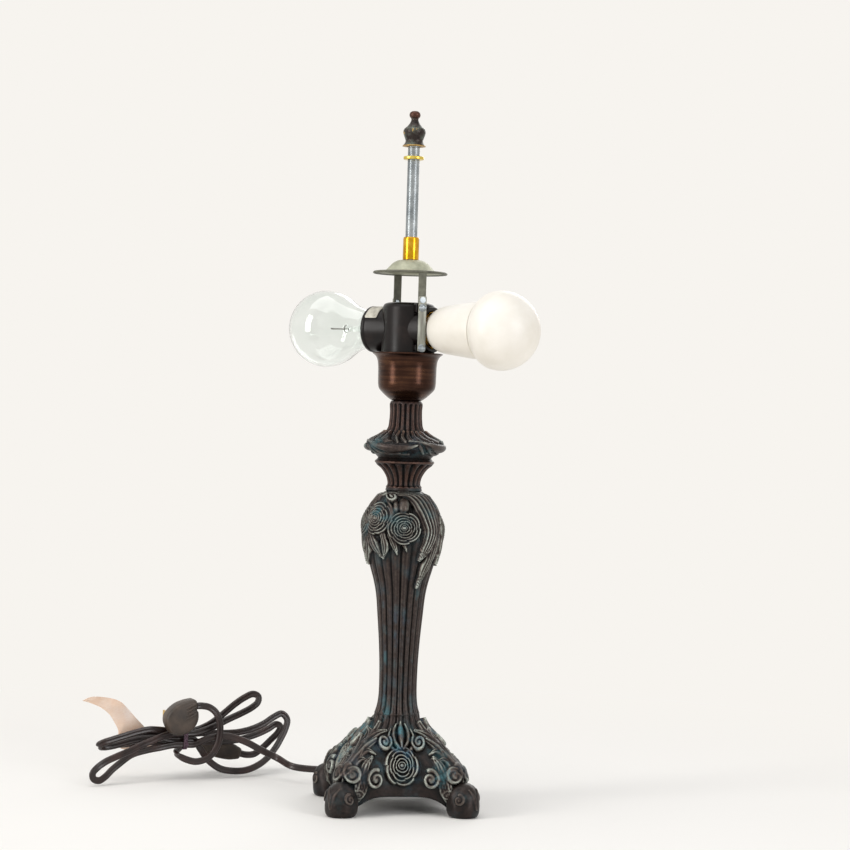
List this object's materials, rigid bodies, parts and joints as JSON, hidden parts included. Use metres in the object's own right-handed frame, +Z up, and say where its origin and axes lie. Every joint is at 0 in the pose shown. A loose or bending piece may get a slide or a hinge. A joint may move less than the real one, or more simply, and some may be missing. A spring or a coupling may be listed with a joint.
{
  "type": "table lamp",
  "caption": "Cast bronze-finish table lamp with roses and leaves, twin bulb cluster, bracket, finial, and a tied brown flat cord with switch and plug.",
  "frame": {"origin": "centre of the footprint at floor level", "axes": "+Z up along the lamp's axis, -Y towards the front face, +X to the right"},
  "size_m": [0.3335, 0.2559, 0.535],
  "materials": {
    "cast_bronze": "satin, dark bronze with verdigris and blue in the hollows",
    "copper_cup": "satin, copper brown",
    "black_phenolic": "gloss",
    "paper": "matt paper, blank",
    "steel": "satin, zinc plated",
    "brass": "polished",
    "verdigris_cap": "satin, pale grey green",
    "finial_bronze": "satin, bronze with green and gold",
    "milky_plastic": "satin, milky white",
    "clear_glass": "clear",
    "nickel": "satin nickel",
    "tungsten": "thin wire",
    "black_insulator": "gloss",
    "brown_cord": "satin, brown vinyl",
    "olive_plug": "satin, olive brown",
    "tie_vinyl": "satin, purple brown"
  },
  "bodies": {
    "lamp": {"base_casting": "cast_bronze", "column_casting": "cast_bronze", "urn_neck_casting": "cast_bronze", "collar_neck_casting": "cast_bronze", "socket_cup": "copper_cup", "cluster_body": "black_phenolic", "cluster_label": "paper", "paper_tag": "paper", "centre_pipe": "steel", "base_washer": "steel", "base_locknut": "steel", "cup_locknut": "steel", "bracket_bar_front": "steel", "bracket_bar_back": "steel", "bracket_screw_front_upper": "steel", "bracket_screw_front_lower": "steel", "bracket_screw_back_upper": "steel", "bracket_screw_back_lower": "steel", "bracket_rivet_front": "steel", "bracket_rivet_back": "steel", "shade_rod": "steel", "switch_pin": "steel", "dome_coupling": "brass", "dome_locknut": "brass", "shade_rest_ring": "brass", "screw_shell_led": "brass", "screw_shell_clear": "brass", "centre_contact_led": "brass", "centre_contact_clear": "brass", "plug_blade_left": "brass", "plug_blade_right": "brass", "dome_cap": "verdigris_cap", "cord_bushing": "black_insulator", "cord_lead": "brown_cord", "cord_hank": "brown_cord", "cord_tail": "brown_cord", "inner_cord": "brown_cord", "plug_body": "olive_plug", "switch_housing_front": "olive_plug", "switch_housing_back": "olive_plug", "twist_tie": "tie_vinyl"},
    "finial_seat": {"finial_insert": "brass"},
    "finial": {"finial": "finial_bronze"},
    "led_tip": {"led_bulb_contact_tip": "nickel"},
    "led_bulb": {"led_bulb_insulator": "black_insulator", "led_bulb_screw_cap": "nickel", "led_bulb_housing": "milky_plastic", "led_bulb_board": "steel", "led_bulb_globe": "milky_plastic"},
    "clear_tip": {"clear_bulb_contact_tip": "nickel"},
    "clear_bulb": {"clear_bulb_insulator": "black_insulator", "clear_bulb_screw_cap": "nickel", "clear_bulb_glass": "clear_glass", "clear_bulb_stem": "clear_glass", "clear_bulb_filament": "tungsten"},
    "switch_wheel": {"switch_wheel": "black_phenolic"}
  },
  "joints": [
    {"name": "finial_travel", "type": "slide", "parent": "lamp", "child": "finial_seat", "axis": [0, 0, 1], "range_m": [-0.0057, 0.0076]},
    {"name": "finial_turn", "type": "hinge", "parent": "finial_seat", "child": "finial", "pos_m": [0, 0, 0.52], "axis": [0, 0, 1], "range_deg": [-2160, 2880]},
    {"name": "led_bulb_travel", "type": "slide", "parent": "lamp", "child": "led_tip", "axis": [0.7547, -0.6561, 0], "range_m": [0, 0.0201]},
    {"name": "led_bulb_turn", "type": "hinge", "parent": "led_tip", "child": "led_bulb", "pos_m": [0, 0, 0.367], "axis": [0.7547, -0.6561, 0], "range_deg": [0, 1980]},
    {"name": "clear_bulb_travel", "type": "slide", "parent": "lamp", "child": "clear_tip", "axis": [-0.7547, 0.6561, 0], "range_m": [0, 0.0201]},
    {"name": "clear_bulb_turn", "type": "hinge", "parent": "clear_tip", "child": "clear_bulb", "pos_m": [0, 0, 0.367], "axis": [-0.7547, 0.6561, 0], "range_deg": [0, 1980]},
    {"name": "switch_wheel_turn", "type": "hinge", "parent": "lamp", "child": "switch_wheel", "pos_m": [-0.12393, 0.15473, 0.02057], "axis": [-0.2588, 0.9659, 0], "continuous": true}
  ],
  "couplings": [
    {"joint": "finial_travel", "follows": "finial_turn", "m_per_rad": 0.00014961},
    {"joint": "led_bulb_travel", "follows": "led_bulb_turn", "m_per_rad": 0.00057757},
    {"joint": "clear_bulb_travel", "follows": "clear_bulb_turn", "m_per_rad": 0.00057757}
  ]
}
